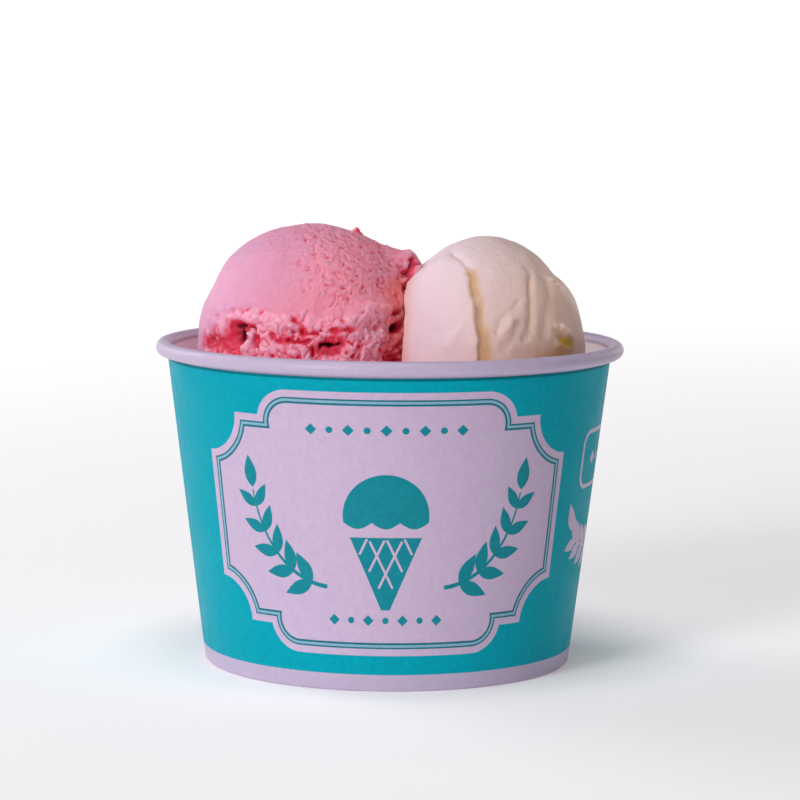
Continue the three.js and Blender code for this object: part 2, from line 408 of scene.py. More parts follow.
def wall_profile():
    """The board's section as a closed loop of [radius, height]; how much of the seam's step each
    point feels: all of it on the outside of the wall, and none elsewhere; and which points are on
    the wall's inside, which isn't printed."""
    skirt_space = gap + board + gap
    hem_outer = wall_inner(board) - skirt_space
    fold = arc((base_radius - board, board), board, -90, -5, 8)
    outside = line((wall_outer(board), board), (wall_outer(roll_foot - 1), roll_foot - 1), 40)
    curl_inside = arc(roll_middle, roll_radius - board, 180, -120, 36)
    curl_tip = arc(arc(roll_middle, roll_radius - board / 2, -120, -120, 1)[0], board / 2, 60, -120, 7)
    curl_outside = arc(roll_middle, roll_radius, -120, 180, 56)
    inside = line((wall_inner(roll_foot + 1), roll_foot + 1), (wall_inner(board), board), 40)
    hem = np.array([
        [hem_outer, board],
        [hem_outer + hem_flare, hem_height],
        [hem_outer + hem_flare - board, hem_height],
        [hem_outer - board, board],
        [hem_outer - board + hem_toe, 0.0],
    ])
    loop = np.concatenate([fold, outside, curl_inside, curl_tip[1:-1], curl_outside, inside, hem])
    feels_seam, unprinted = np.zeros((2, len(loop)))
    feels_seam[len(fold) // 2:len(fold) + len(outside)] = 1
    unprinted[-len(hem) - len(inside):-len(hem)] = 1
    return loop, feels_seam, unprinted


def all_round(count, *steps):
    """Angles spaced evenly round the cup, and one more at each step in the wall. The even ones are
    turned a trifle, so that none of them falls on the seam."""
    even = np.linspace(0, 2 * np.pi, count + 1)[:-1] + off_seam
    return np.sort(np.append(even, np.mod(steps, 2 * np.pi)))


around = all_round(360, seam_angle)
profile, feels_seam, unprinted = wall_profile()
radius = profile[:, :1] + feels_seam[:, None] * seam_lift(around)[None, :]
wall = put_mesh("paper_wall", [ring_grid(on_cup(around, radius, profile[:, 1:]))])
put_values(wall, "inside", np.repeat(unprinted, len(around)))

# %% [markdown]
# ## The bottom disc
#
# The bottom is a second piece of board, pressed in from below. Its edge is turned down into the
# space between wall and hem. It is a short profile too, this time ending on the axis. A slight
# dish keeps it from looking machined.


# %% The bottom's profile
def skirt_outer(height):
    """Radius of the outside of the turned-down edge, a gap in from the wall."""
    return wall_inner(height) - gap


disc_top = bottom_height + board
corner = 0.5
under = line((0.0, bottom_height), (skirt_outer(bottom_height) - board - corner, bottom_height), 24)
dish = 0.15
under[:, 1] += dish * (1 - (under[:, 0] / under[-1, 0]) ** 2)
skirt_foot = 1.2
skirt = np.array([
    [skirt_outer(bottom_height) - board, bottom_height - corner],
    [skirt_outer(skirt_foot) - board, skirt_foot],
    [skirt_outer(skirt_foot), skirt_foot],
])
shoulder = arc((skirt_outer(disc_top) - corner, disc_top - corner), corner, 0, 90, 6)
over = under[::-1] + [0, board]
bottom_profile = np.concatenate([under, skirt, shoulder, over])
bottom_around = np.linspace(0, 2 * np.pi, 181)[:-1]
bottom_grid = on_cup(bottom_around, bottom_profile[:, :1], bottom_profile[:, 1:])
bottom = put_mesh("paper_bottom", [closed_grid(bottom_grid)])

# %% [markdown]
# ## Board and ink
#
# Cup board is printed flat before it is rolled up. Its outside is pale lilac under a thin coat, and
# the inside is unprinted, so it is whiter. The inks are matt and a little darker than the board
# they lie on looks. A picture would do for the mottling, but noise has no edge and no direction,
# so it fits a wall that was bent.


# %% Board and ink
def board_finish(name, light, dark, coat, shine, inside=None):
    """Board or ink: two near shades in soft mottling of about a millimetre, with short fibres in
    the relief, and a sheen that drifts over centimetres. `coat` and `shine` are how much of a clear
    coat and of the paper's own shine there is. Where the wall keeps a 1 for its inside, the shade
    of unprinted board takes over."""
    paper = Finish(name, Coat_Weight=coat, Coat_Roughness=0.32, Coat_IOR=1.45, Specular_IOR_Level=shine)
    mottle = paper.span(paper.grain(1.1, 3.0, 0.6), 0.32, 0.68)
    fibres = paper.grain(0.25, 3.0, 0.7)
    sheen = paper.span(paper.grain(7.0), 0.3, 0.7, 0.42, 0.54)
    base = paper.blend(mottle, colour(*light), colour(*dark))
    if inside:
        base = paper.blend(paper.value("inside"), base, colour(*inside))
    return paper.finish(base, sheen, paper.bump(fibres, 0.02))


white_board = board_finish("coated_board", (194, 179, 205), (190, 173, 200), 0.15, 0.4, (247, 243, 252))
plaque_board = board_finish("plaque_board", (203, 182, 210), (198, 175, 205), 0.1, 0.35)
raw_board = board_finish("uncoated_board", (210, 199, 217), (202, 190, 210), 0.05, 0.3)
teal_ink = board_finish("teal_ink", (0, 165, 183), (0, 157, 175), 0.0, 0.05)
# painted shade: a darker teal for the band under the roll, where the roll's shadow falls
painted_shade_ink = board_finish("painted_shade_ink", (0, 122, 134), (0, 115, 127), 0.0, 0.05)
line_ink = board_finish("line_ink", (12, 118, 132), (9, 109, 124), 0.04, 0.2)
pale_ink = board_finish("pale_ink", (137, 180, 204), (129, 173, 197), 0.08, 0.3)
figure_ink = board_finish("figure_ink", (7, 139, 153), (5, 130, 145), 0.04, 0.15)
dress(wall, white_board, "cup_wall")
dress(bottom, raw_board, "cup_bottom")

# %% [markdown]
# ## The form of a scoop
#
# A scoop of gelato is a ball that has been rolled, pressed and torn. It could be sculpted by hand,
# but a formula can be read and changed. Each scoop is an ellipsoid, and every point of it moves in
# or out by a relief in millimetres. The main forms of the relief follow short paths over the ball:
# a stroke is a rounded ridge or furrow, and a sheet is the edge of a layer that was folded over.
# The grid's top pole leans to the back, and its columns are closer together on the front.


# %% Strokes and sheets along paths
FRONT, EDGE, BACK = -1, 0, 1
sheet_edge = 0.45


def on_scoop(scoop, side, path):
    """Carries [x, z] points onto the scoop's ellipsoid: on its front half, on the edge where the
    halves meet, or on its back half. Its depth from the edge is y radius * sqrt(1 - share^2)."""
    place = np.array(path, float)
    share = (place - scoop["middle"][[0, 2]]) / scoop["radii"][[0, 2]]
    depth = np.sqrt(np.clip(1 - (share ** 2).sum(axis=1), 0, 1))
    y = scoop["middle"][1] + side * depth * scoop["radii"][1]
    return np.stack([place[:, 0], y, place[:, 1]], -1)


def from_path(points, path, middle):
    """Distance from each point to a path, and how far it lies to the path's left as seen from
    outside: the way from the path, dotted with (outward x along). A path of one point is first
    made a very short one."""
    if len(path) == 1:
        path = np.concatenate([path, path + 1e-3])
    nearest = np.full(points.shape[:-1], np.inf)
    left = np.zeros_like(nearest)
    for start, end in zip(path[:-1], path[1:]):
        along = end - start
        share = np.clip((points - start) @ along / (along @ along), 0, 1)
        away = points - start - share[..., None] * along
        distance = np.linalg.norm(away, axis=-1)
        across = np.cross((start + end) / 2 - middle, along)
        left = np.where(distance < nearest, away @ across / np.linalg.norm(across), left)
        nearest = np.minimum(distance, nearest)
    return nearest, left


def stroke(points, scoop, side, path, rise, reach):
    """rise * bell(distance, reach): a ridge, or a furrow where the rise is negative."""
    distance, _ = from_path(points, on_scoop(scoop, side, path), scoop["middle"])
    return rise * bell(distance, reach)


def sheet(points, scoop, side, path, rise, reach):
    """rise * exp(-distance / reach) on the path's left, stepping to nothing at the path: the edge
    of a layer, which thins out away from it."""
    distance, left = from_path(points, on_scoop(scoop, side, path), scoop["middle"])
    return rise * np.exp(-distance / reach) * smooth(-sheet_edge, sheet_edge, left)


def strokes(points, scoop, group):
    """Sum of the strokes in one of the scoop's groups."""
    return sum(stroke(points, scoop, *one) for one in scoop[group])


def edge_drop(points, scoop):
    """How far each point lies below the cap's edge. The edge's heights are given at equal angles
    round the scoop, and eased from one to the next."""
    heights = np.array(scoop["edge_heights"], float)
    angle = np.arctan2(points[..., 0] - scoop["middle"][0], scoop["middle"][1] - points[..., 1])
    place = np.mod(angle / (2 * np.pi), 1) * len(heights)
    before = np.floor(place).astype(int) % len(heights)
    ease = smooth(0, 1, place % 1)
    after = (before + 1) % len(heights)
    return heights[before] * (1 - ease) + heights[after] * ease - points[..., 2]


# %% The directions of a scoop's grid
scoop_columns, scoop_rows, fine_rows = 380, 244, 212
fine_end = 132.0
crowding = 0.5
pole = np.array([-0.15, 0.35, 0.92])


def scoop_directions():
    """Unit directions [row, column]. Most rows lie within `fine_end` degrees of the pole. A
    column's turn about the pole is t + crowding * sin(t), so columns crowd at t = half a turn,
    which faces the front."""
    fine = np.linspace(0, fine_end, fine_rows, endpoint=False)
    down = np.radians(np.append(fine, np.linspace(fine_end, 180, scoop_rows - fine_rows)))[:, None]
    t = np.linspace(0, 2 * np.pi, scoop_columns, endpoint=False)
    turn = (t + crowding * np.sin(t))[None, :]
    axis = pole / np.linalg.norm(pole)
    side = np.cross([0.0, 1.0, 0.0], axis)
    side /= np.linalg.norm(side)
    back = np.cross(axis, side)
    parts = (np.cos(down) + 0 * turn, np.sin(down) * np.cos(turn), np.sin(down) * np.sin(turn))
    return sum(part[..., None] * way for part, way in zip(parts, (axis, back, side)))


def scoop_grid(scoop, relief_of, directions):
    """Point = middle + radii * direction + relief * direction, and the values kept with it."""
    base = scoop["middle"] + scoop["radii"] * directions
    relief, values = relief_of(base, scoop)
    return base + relief[..., None] * directions, values


directions = scoop_directions()
print("scoop grid:", directions.shape[:2])

# %% [markdown]
# ## Strawberry
#
# The strawberry scoop has a smooth cap, wiped by the scoop's bowl and puckered on its right by fine
# wrinkles. Below the cap's ragged edge the gelato was torn, so there it is crumbly, with caves and
# slits between the crumbs. Its right shoulder was pulled up when the next scoop went in. The deeper
# a point lies in a crack, the redder and darker the material paints it, as painted shade, so the
# depth is kept for the material to read.

# %% Strawberry's measures: each stroke is a side, a path of [x, z], a rise and a reach
strawberry = {
    "middle": np.array([-16.0, -1.0, 65.5]),
    "radii": np.array([23.5, 23.5, 23.45]),
    "edge_heights": [71.5, 71, 72.6, 74, 75, 76.5, 77, 76, 75, 74, 73, 72,
                     72.5, 74, 74.5, 73, 71, 67, 62, 60, 68.5, 71.5, 73, 72.5],
    "shoulder": (FRONT, [(1.8, 80.8), (2.8, 79.4), (3.0, 77.4)], 1.0, 2.6),
    "forms": [
        (EDGE, [(2.8, 79.6)], 3.9, 5.0),  # torn shoulder
        (EDGE, [(-36.9, 76.0)], -1.3, 5.0),  # flat on the flank
        (EDGE, [(-39.3, 67.0)], -1.3, 4.5),  # foot of the flank
        (FRONT, [(-10.5, 69.0), (-5.5, 71.6), (-1.2, 72.6)], 1.2, 2.3),  # curled lip
        (FRONT, [(-7.5, 65.8), (-3.5, 66.8)], 0.9, 2.4),  # bulge below the lip
        (BACK, [(-30.0, 70.0), (-26.0, 74.0)], 1.4, 2.6),
    ],
    "caves": [
        (FRONT, [(-36.8, 64.4), (-31.5, 66.5)], -1.3, 2.4),  # wide cave on the left
        (FRONT, [(-31.2, 67.6), (-28.8, 67.4)], -2.3, 1.9),
        (FRONT, [(-17.6, 69.0), (-14.8, 68.6), (-13.4, 69.2)], -1.0, 0.45),
        (FRONT, [(-32.2, 69.6), (-30.2, 70.1), (-27.6, 69.3)], -1.7, 0.8),
        (FRONT, [(-30.4, 69.6), (-30.0, 64.3)], -1.6, 0.45),
        (FRONT, [(-26.8, 67.4), (-26.6, 64.7)], -1.6, 0.6),
        (FRONT, [(-34.2, 71.5)], -0.9, 0.45),
        (FRONT, [(-31.4, 72.3)], -0.9, 0.45),
        (FRONT, [(-23.6, 68.4), (-22.0, 67.2)], -1.3, 0.7),
        (FRONT, [(-20.4, 69.3), (-18.6, 68.6)], -1.0, 0.5),
        (FRONT, [(-18.4, 71.4), (-17.6, 70.2), (-17.4, 69.2)], -1.2, 0.6),
        (FRONT, [(-20.2, 66.9), (-15.8, 67.2)], -1.3, 0.4),
        (FRONT, [(-14.0, 65.4), (-9.8, 65.8)], -1.2, 1.8),
        (FRONT, [(-13.0, 66.1), (-9.7, 66.4)], -2.6, 0.5),  # long slit
        (FRONT, [(-15.1, 65.8), (-14.9, 64.0)], -1.8, 0.5),
        (FRONT, [(-11.6, 68.9), (-7.6, 69.4)], -1.2, 0.55),
        (FRONT, [(-5.4, 67.8)], -0.9, 0.4),
        (FRONT, [(-3.2, 69.4)], -1.2, 0.45),
        (FRONT, [(-8.2, 64.8)], -0.9, 0.4),
        (FRONT, [(-6.4, 66.0)], -0.8, 0.4),
        (FRONT, [(0.9, 68.9), (2.3, 69.6)], -3.6, 0.85),  # hole by the meeting line
        (FRONT, [(0.3, 64.6), (2.4, 65.8)], -1.4, 0.7),
        (FRONT, [(-0.6, 63.4), (2.4, 62.6)], -2.2, 0.8),
        (FRONT, [(0.8, 72.4), (2.0, 72.1)], -1.8, 0.6),
        (FRONT, [(2.2, 80.2), (2.7, 79.3), (2.9, 78.7)], -2.0, 0.65),  # hole in the torn shoulder
        (FRONT, [(3.0, 77.6), (2.7, 76.4)], -1.2, 0.45),
        (FRONT, [(1.5, 75.0), (2.0, 73.6)], -0.9, 0.4),
        (EDGE, [(3.0, 79.8)], -1.0, 0.45),
        (EDGE, [(3.5, 78.8)], -0.9, 0.4),
        (EDGE, [(2.2, 80.8)], -0.6, 0.4),
        (BACK, [(-23.5, 66.6), (-19.5, 66.2)], -2.0, 1.4),  # cave at the back
        (BACK, [(-28.0, 69.5), (-22.0, 70.2)], -1.4, 0.6),
        (BACK, [(-10.0, 66.0), (-6.0, 67.5)], -1.8, 0.6),
        (BACK, [(-17.0, 70.6), (-14.5, 71.2)], -1.4, 0.6),
    ],
    "flakes": [
        (FRONT, [(-28.4, 68.4), (-28.2, 65.2)], 1.7, 0.8),
        (FRONT, [(-21.4, 70.9), (-19.0, 70.4)], 0.8, 0.9),
        (FRONT, [(-5.4, 72.6), (-2.6, 73.8), (-1.0, 73.2)], 0.7, 0.9),
        (FRONT, [(1.0, 81.4), (1.9, 81.2)], 0.5, 0.7),
        (FRONT, [(1.9, 79.0)], 0.5, 0.5),
        (EDGE, [(-7.2, 87.1), (-6.2, 87.1)], 1.3, 0.6),
    ],
    # Painted shade, mostly: these redden and darken the holes, caves and slits above; the one on the top is
    # a red fleck
    "stains_and_shade": [
        (FRONT, [(2.2, 80.2), (2.7, 79.3), (2.9, 78.7)], 0.7, 0.9),
        (EDGE, [(3.1, 79.6), (3.6, 78.4)], 0.5, 0.9),
        (FRONT, [(2.7, 76.2)], 1.2, 0.7),
        (EDGE, [(-6.8, 87.1)], 2.0, 0.9),
        (FRONT, [(-21.6, 67.0), (-16.4, 66.8)], 0.5, 0.8),
        (FRONT, [(1.2, 69.0), (2.3, 69.6)], 1.2, 0.8),
        (FRONT, [(-13.0, 66.1), (-9.7, 66.4)], 1.0, 0.5),
        (FRONT, [(-31.6, 70.0), (-30.2, 70.2), (-27.8, 69.6)], 0.9, 0.7),
        (FRONT, [(-30.4, 69.0), (-30.0, 64.3)], 0.6, 0.6),
    ],
}
chunk_size, chunk_crack = 2.7, 0.35
grain_size, grain_crack = 1.3, 0.22
print("strawberry's caves and cracks:", len(strawberry["caves"]), "flakes:", len(strawberry["flakes"]))


# %% Strawberry's relief
def bent(points, amount, size, seed):
    """Points moved by amount * noise along each axis, so that straight things wander."""
    return points + amount * np.stack([noise(points, size, seed + i) for i in range(3)], -1)


def wrinkles(points, scoop):
    """Puckers of the cap: valleys bell(n, width) along the lines where a noise n, stretched along
    a slant, is nothing. Another noise breaks them up, and here and there is a small pit. They
    fade out to the left and the bottom of the cap."""
    slant = np.array([0.87, 0.0, 0.50])
    squeezed = bent(points, 0.5, 2.4, 40) - 0.45 * (points @ slant)[..., None] * slant
    lines = bell(noise(squeezed, 1.0, 9), 0.24) * smooth(-0.4, 0.2, noise(points, 1.5, 17))
    pits = smooth(0.4, 0.8, noise(squeezed, 0.85, 14))
    swell = 0.5 + 0.5 * noise(squeezed + 9, 1.3, 15)
    out = (points - scoop["middle"]) / scoop["radii"]
    right = smooth(-0.3, 0.6, 0.8 * out[..., 0] + 0.45 * out[..., 2] + 0.15 * noise(points, 5.0, 20))
    zone = right * smooth(0.2, 0.5, out[..., 2] + 0.1 * noise(points, 5.0, 16))
    grit = 0.14 * noise(points, 0.75, 21)
    return (0.12 + 0.88 * zone) * (0.32 * lines + 0.34 * pits + 0.18 * swell + grit)


def strawberry_relief(points, scoop):
    """Main forms, with chunks, cracks, holes and rough ground below the cap's edge, and low lumps
    and wrinkles above it. Chunks are cells of their own height, and grains are smaller ones on
    them. The values kept are the depth in cracks, caves and the wrinkles' valleys, with marks added
    in holes and slits, which the material paints as shade, and how torn it is."""
    loose = bent(points, 0.7, 2.6, 50)
    forms = strokes(points, scoop, "forms")
    caves = strokes(loose, scoop, "caves")
    flakes = strokes(loose, scoop, "flakes")
    drop = edge_drop(points, scoop) + 1.6 * rough(points, 4.0, 3, 1)
    shoulder = stroke(loose, scoop, *scoop["shoulder"])
    below = np.maximum(smooth(-2.6, 1.4, drop), shoulder)
    lip = 0.2 * bell(drop + 1.6, 1.1)
    lumpy = bent(points, 0.9, 2.6, 2)
    crack, chunk = cells(lumpy, chunk_size, chunk_crack, 1)
    fine_crack, grain = cells(lumpy, grain_size, grain_crack, 2)
    holes = smooth(0.35, 0.75, noise(loose, 1.9, 18))
    torn = 1.1 * (chunk - 0.5) - 0.6 * crack * chunk + 0.4 * (grain - 0.5) - 0.2 * fine_crack
    torn += 0.25 * rough(points, 1.2, 3, 5) - 0.9 * holes
    torn *= 0.85 + 0.5 * shoulder - 0.4 * smooth(0.8, 2.4, -caves)
    caves *= 1 + 0.3 * noise(points, 1.1, 19)
    pucker = wrinkles(points, scoop)
    cap = 0.35 * noise(points, 9.0, 6) + 0.12 * noise(points, 3.0, 7) - pucker
    relief = forms + lip + below * torn + (1 - below) * cap + caves + flakes
    # Painted shade: depth reddens and darkens cracks, caves and the wrinkles' valleys, and raised flakes
    # are kept lighter
    depth = 1.5 * below * np.clip(-0.05 - torn, 0, 3) - 0.65 * caves - 0.8 * flakes
    depth += (1 - below) * 2.2 * np.clip(pucker - 0.1, 0, 1) + strokes(loose, scoop, "stains_and_shade")
    return relief, (depth, below)


# %% [markdown]
# ## Vanilla
#
# The vanilla is denser, and was scooped in layers: broad soft sheets folded over each other, with a
# crease where one ends. The rest of its surface is nearly smooth. It is made in the strawberry's
# way, with sheets as well as strokes. Its stains are streaks and pockets of richer, yellower cream.

# %% Vanilla's measures: each sheet has a side, a path, a rise and a reach too
vanilla = {
    "middle": np.array([19.0, -4.0, 64.8]),
    "radii": np.array([20.5, 20.7, 21.9]),
    "edge_heights": [60, 60, 61, 60],
    "forms": [
        (EDGE, [(6.2, 82.0)], -1.7, 5.0),  # flat above the meeting line
        (EDGE, [(4.2, 79.2)], -1.0, 3.0),
        (EDGE, [(33.5, 80.0)], -1.2, 5.0),  # flat on the right shoulder
        (EDGE, [(34.8, 78.4)], 0.3, 2.4),
        (EDGE, [(39.0, 69.5)], -0.9, 3.0),  # flank
        (FRONT, [(28.5, 79.5), (28.6, 77.0), (28.9, 73.9), (29.0, 71.7), (28.6, 69.0)], 0.15, 0.9),
        (FRONT, [(15.6, 75.2), (14.4, 73.6), (12.8, 71.4), (9.4, 68.7)], -0.4, 1.5),
        (FRONT, [(15.7, 73.2), (13.6, 70.2), (11.3, 66.7)], 0.35, 1.4),
        (FRONT, [(16.2, 74.0), (16.5, 72.3), (16.6, 69.5)], 0.3, 0.8),
        (FRONT, [(23.8, 71.4), (22.6, 69.7)], 0.35, 1.0),
        (FRONT, [(29.5, 82.2), (30.2, 79.6)], -0.5, 1.6),
    ],
    "folds": [
        (FRONT, [(12.0, 83.8), (13.5, 82.9), (15.0, 81.6), (15.9, 79.6), (16.2, 76.2)], -0.35, 0.9),
        (FRONT, [(17.5, 73.6), (17.8, 70.4), (18.1, 67.4), (18.4, 63.5)], -0.35, 1.2),
        (FRONT, [(27.4, 80.7), (27.5, 77.2), (27.5, 73.5), (27.3, 69.7), (26.6, 68.0)], -0.4, 0.85),
        (FRONT, [(31.2, 78.5), (31.0, 72.5), (30.4, 68.5)], -0.25, 1.0),
        (FRONT, [(25.4, 74.6), (23.8, 72.8), (21.9, 71.3), (21.4, 69.3)], -0.28, 0.8),
        (FRONT, [(25.4, 70.8), (24.4, 68.0), (22.5, 66.1)], -0.25, 0.9),
        (FRONT, [(34.0, 67.1), (36.2, 66.5)], -0.3, 0.9),
        (FRONT, [(38.8, 67.4), (38.8, 63.8)], -0.7, 0.6),
        (BACK, [(12.0, 80.0), (13.5, 73.0), (12.5, 66.0)], -0.8, 1.6),
        (BACK, [(24.0, 82.0), (26.0, 75.0), (25.5, 67.0)], -0.7, 1.5),
    ],
    "sheets": [
        (FRONT, [(16.0, 75.6), (15.7, 79.6), (14.8, 81.6), (13.2, 83.0)], 0.4, 3.0),
        (FRONT, [(17.5, 61.0), (17.2, 68.0), (16.9, 71.7), (16.5, 74.6)], 0.65, 2.2),
        (FRONT, [(27.2, 68.5), (27.2, 77.0), (27.5, 81.4)], 0.15, 1.8),
        (FRONT, [(25.6, 74.8), (23.8, 73.1), (21.9, 71.6), (21.3, 69.3)], 0.25, 1.6),
        (BACK, [(12.4, 80.5), (13.8, 72.0), (13.6, 60.0)], 0.8, 2.4),
        (BACK, [(24.2, 82.0), (26.2, 75.0), (26.0, 66.0)], 0.7, 2.2),
    ],
    "flakes": [
        (FRONT, [(31.9, 78.8)], 0.6, 0.5),
        (FRONT, [(33.4, 77.6)], 0.6, 0.5),
        (FRONT, [(34.1, 69.6), (35.3, 68.5)], 0.8, 0.7),
        (FRONT, [(33.0, 70.0)], 0.4, 0.6),
        (FRONT, [(33.2, 66.0)], 0.3, 0.8),
    ],
    "stains_and_shade": [
        (FRONT, [(16.1, 80.2), (16.6, 78.4), (16.7, 76.6)], 1.0, 1.3),
        (FRONT, [(17.3, 74.6), (17.9, 70.4), (18.4, 66.0), (18.6, 62.0)], 0.75, 1.4),
        (FRONT, [(18.6, 69.0), (19.2, 62.0)], 0.45, 1.3),
        (FRONT, [(27.4, 79.5), (27.5, 74.0), (27.4, 69.2)], 0.5, 0.8),
        (FRONT, [(31.4, 77.0), (31.2, 73.0)], 0.35, 0.9),
        (FRONT, [(34.4, 66.9), (36.0, 66.5)], 3.2, 1.0),
        (FRONT, [(33.4, 65.4), (35.8, 64.9)], 1.1, 1.6),
        (FRONT, [(32.8, 68.6)], 0.6, 1.0),
        (FRONT, [(30.0, 64.5), (33.0, 64.2)], 0.6, 1.2),
        (BACK, [(13.4, 74.0), (12.8, 64.0)], 0.45, 1.7),
        (BACK, [(25.8, 77.0), (25.4, 66.0)], 0.4, 1.5),
    ],
}
print("vanilla's sheets and folds:", len(vanilla["sheets"]), "and", len(vanilla["folds"]))


# %% Vanilla's relief
def vanilla_relief(points, scoop):
    """Main forms, folds, sheets and flakes, over low lumps. The values kept are how deep its
    streaks and pockets of richer cream are, and how torn it is."""
    loose = bent(points, 0.35, 2.4, 60)
    forms = strokes(points, scoop, "forms") + strokes(loose, scoop, "folds")
    flakes = strokes(loose, scoop, "flakes")
    layers = sum(sheet(loose, scoop, *one) for one in scoop["sheets"])
    pulled = points * np.array([1.0, 1.0, 0.45])
    lumps = 0.3 * noise(points, 8.0, 10) + 0.12 * noise(pulled, 3.2, 11) + 0.03 * noise(pulled, 0.9, 12)
    below = smooth(-0.5, 1.2, edge_drop(points, scoop) + 0.8 * rough(points, 3.0, 2, 13))
    crack, chunk = cells(points, 3.4, 0.5, 3)
    torn = 1.2 * (chunk - 0.5) - 0.6 * crack - 0.4
    relief = forms + flakes + layers + lumps + below * torn
    return relief, (strokes(loose, scoop, "stains_and_shade"), below)


# %% [markdown]
# ## Where the flavours meet
#
# The two scoops were pressed together, so they are flat where they touch. A boolean would leave
# ragged edges on such busy surfaces. Instead the points are moved before there is a mesh. Points
# of the vanilla past a slightly wavy plane are moved straight back to it. The strawberry gives way
# to the vanilla, so its points are drawn back along their own rays.

# %% Where the flavours meet
meeting_x, meeting_turn = 3.6, np.radians(4.0)
contact_gap = 0.06
half_gap = contact_gap / 2
meeting_normal = np.array([np.cos(meeting_turn), -np.sin(meeting_turn), 0.0])
meeting_along = np.array([np.sin(meeting_turn), np.cos(meeting_turn), 0.0])


def wander(points):
    """How far the meeting bends out of its plane: noise over Y and Z, up to about 0.7 mm."""
    return 0.5 * rough(points * [0, 1, 1] + [5, 0, 0], 9.0, 3, 30)


def beyond_meeting(points):
    """How far points lie past the meeting, on the vanilla's side."""
    return (points - [meeting_x, 0, 0]) @ meeting_normal - wander(points)


def outside_vanilla(points):
    """Above 0 where a point is clear of the vanilla scoop by more than the gap: how far it lies
    outside the scoop's relief, or short of the meeting plane, whichever is more."""
    away = (points - vanilla["middle"]) / vanilla["radii"]
    length = np.linalg.norm(away, axis=-1, keepdims=True)
    base = vanilla["middle"] + vanilla["radii"] * away / length
    clear = np.linalg.norm(points - base, axis=-1) * np.sign(length[..., 0] - 1)
    return np.maximum(clear - vanilla_relief(base, vanilla)[0] - contact_gap,
                      -half_gap - beyond_meeting(points))


def give_way(grid, middle, outside, halvings=9):
    """Draws points that aren't outside back along their rays from the middle. The share of the way
    that stays is found by halving."""
    taken = outside(grid) < 0
    rays = grid[taken] - middle
    low, high = np.zeros(len(rays)), np.ones(len(rays))
    for _ in range(halvings):
        share = (low + high) / 2
        is_out = outside(middle + share[:, None] * rays) > 0
        low, high = np.where(is_out, share, low), np.where(is_out, high, share)
    grid = grid.copy()
    grid[taken] = middle + low[:, None] * rays
    return grid


vanilla_grid, vanilla_values = scoop_grid(vanilla, vanilla_relief, directions)
short = np.maximum(half_gap - beyond_meeting(vanilla_grid), 0)
vanilla_grid += short[..., None] * meeting_normal
strawberry_grid, strawberry_values = scoop_grid(strawberry, strawberry_relief, directions)
strawberry_grid = give_way(strawberry_grid, strawberry["middle"], outside_vanilla)


def put_scoop(name, grid, values, mix_and_reflection_width):
    """A scoop's mesh, which keeps its depth and torn values at every point, and how near it lies to the
    other flavour: bell(distance from the meeting, the given width), less and less towards the top,
    partly for the flavours mixing and partly for a painted reflection of the other scoop. They are
    nothing at the poles."""
    scoop = put_mesh(name, [closed_grid(grid)], 80)
    # partly real mixing, partly a painted reflection of the other scoop near the meeting line
    mix_and_reflection = bell(beyond_meeting(grid), mix_and_reflection_width) * smooth(81, 77, grid[..., 2])
    for label, value in zip(("depth", "torn", "mix_and_reflection"), (*values, mix_and_reflection)):
        put_values(scoop, label, np.append(value[1:-1].ravel(), [0, 0]))
    return scoop


strawberry_scoop = put_scoop("strawberry_scoop", strawberry_grid, strawberry_values, 4.2)
vanilla_scoop = put_scoop("vanilla_scoop", vanilla_grid, vanilla_values, 1.6)

# %% [markdown]
# ## Packed gelato
#
# Under the scoops the cup is filled with the same two flavours, each on its side of the meeting
# plane. Only its top shows, from above: spread with a spade, climbing a little where it meets the
# wall and the scoops. Each body is half a disc at every height. Its outline runs along the wall and
# then back along the cut, and its top is drawn in from the outline to a middle point.

# %% Packed gelato, one body a flavour
level = 54.0
packed_floor = bottom_height + board + gap
wall_columns, cut_columns = 260, 100


def packed_top(flat):
    """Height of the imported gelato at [x, y]: two crossed waves, a climb with the eighth power of
    the distance from the axis, a ridge round each scoop's foot, spade marks (rough noise stretched
    along x), and crumbly patches of small cells."""
    x, y = flat[..., 0], flat[..., 1]
    waves = 1.1 * np.sin(x / 9 + 0.6) * np.cos(y / 11 - 0.4) + 0.6 * np.sin(y / 5.5 + x / 13)
    climb = 1.6 * (np.hypot(x, y) / wall_inner(level)) ** 8
    height = level + waves + climb
    for scoop in (strawberry, vanilla):
        foot = np.sqrt(1 - ((level - scoop["middle"][2]) / scoop["radii"][2]) ** 2) * scoop["radii"][0]
        away = np.linalg.norm(flat - scoop["middle"][:2], axis=-1) - foot
        height = height + 1.3 * bell(away, 2.0)
    place = np.stack([x, y, level + 0 * x], -1)
    spread = place * np.array([0.5, 1.0, 1.0])
    torn = smooth(0.1, 0.6, rough(place, 7.0, 2, 20))
    crack, lump = cells(place, 2.6, 0.3, 4)
    crumbly = 0.9 * lump - 0.4 * crack
    return height + 0.5 * rough(spread, 5.0, 3, 21) + torn * crumbly


def half_ring(radius, height, side):
    """Outline of half a disc on one side of the meeting, in columns: along a circle of the given
    radius from one end of the cut to the other, then back along the cut, which wanders less and
    less towards its ends."""
    step = np.append(np.linspace(0, 1, wall_columns), 1 + np.linspace(0, 1, cut_columns)[1:-1])
    cut = meeting_x * np.cos(meeting_turn) + side * half_gap
    corner = np.arccos(cut / radius)
    start, sweep = (-corner, 2 * corner) if side > 0 else (corner, 2 * np.pi - 2 * corner)
    angle = start + sweep * np.minimum(step, 1)
    back = np.sin(start + sweep) * (2 - step) + np.sin(start) * (step - 1)
    along = radius * np.where(step <= 1, np.sin(angle), back)
    place = np.stack(np.broadcast_arrays(0.0, along, height), -1)
    bend = wander(place) * (1 - np.clip(along / radius, -1, 1) ** 8)
    across = np.where(step <= 1, radius * np.cos(angle), cut + bend)
    return across[..., None] * meeting_normal[:2] + along[..., None] * meeting_along[:2]


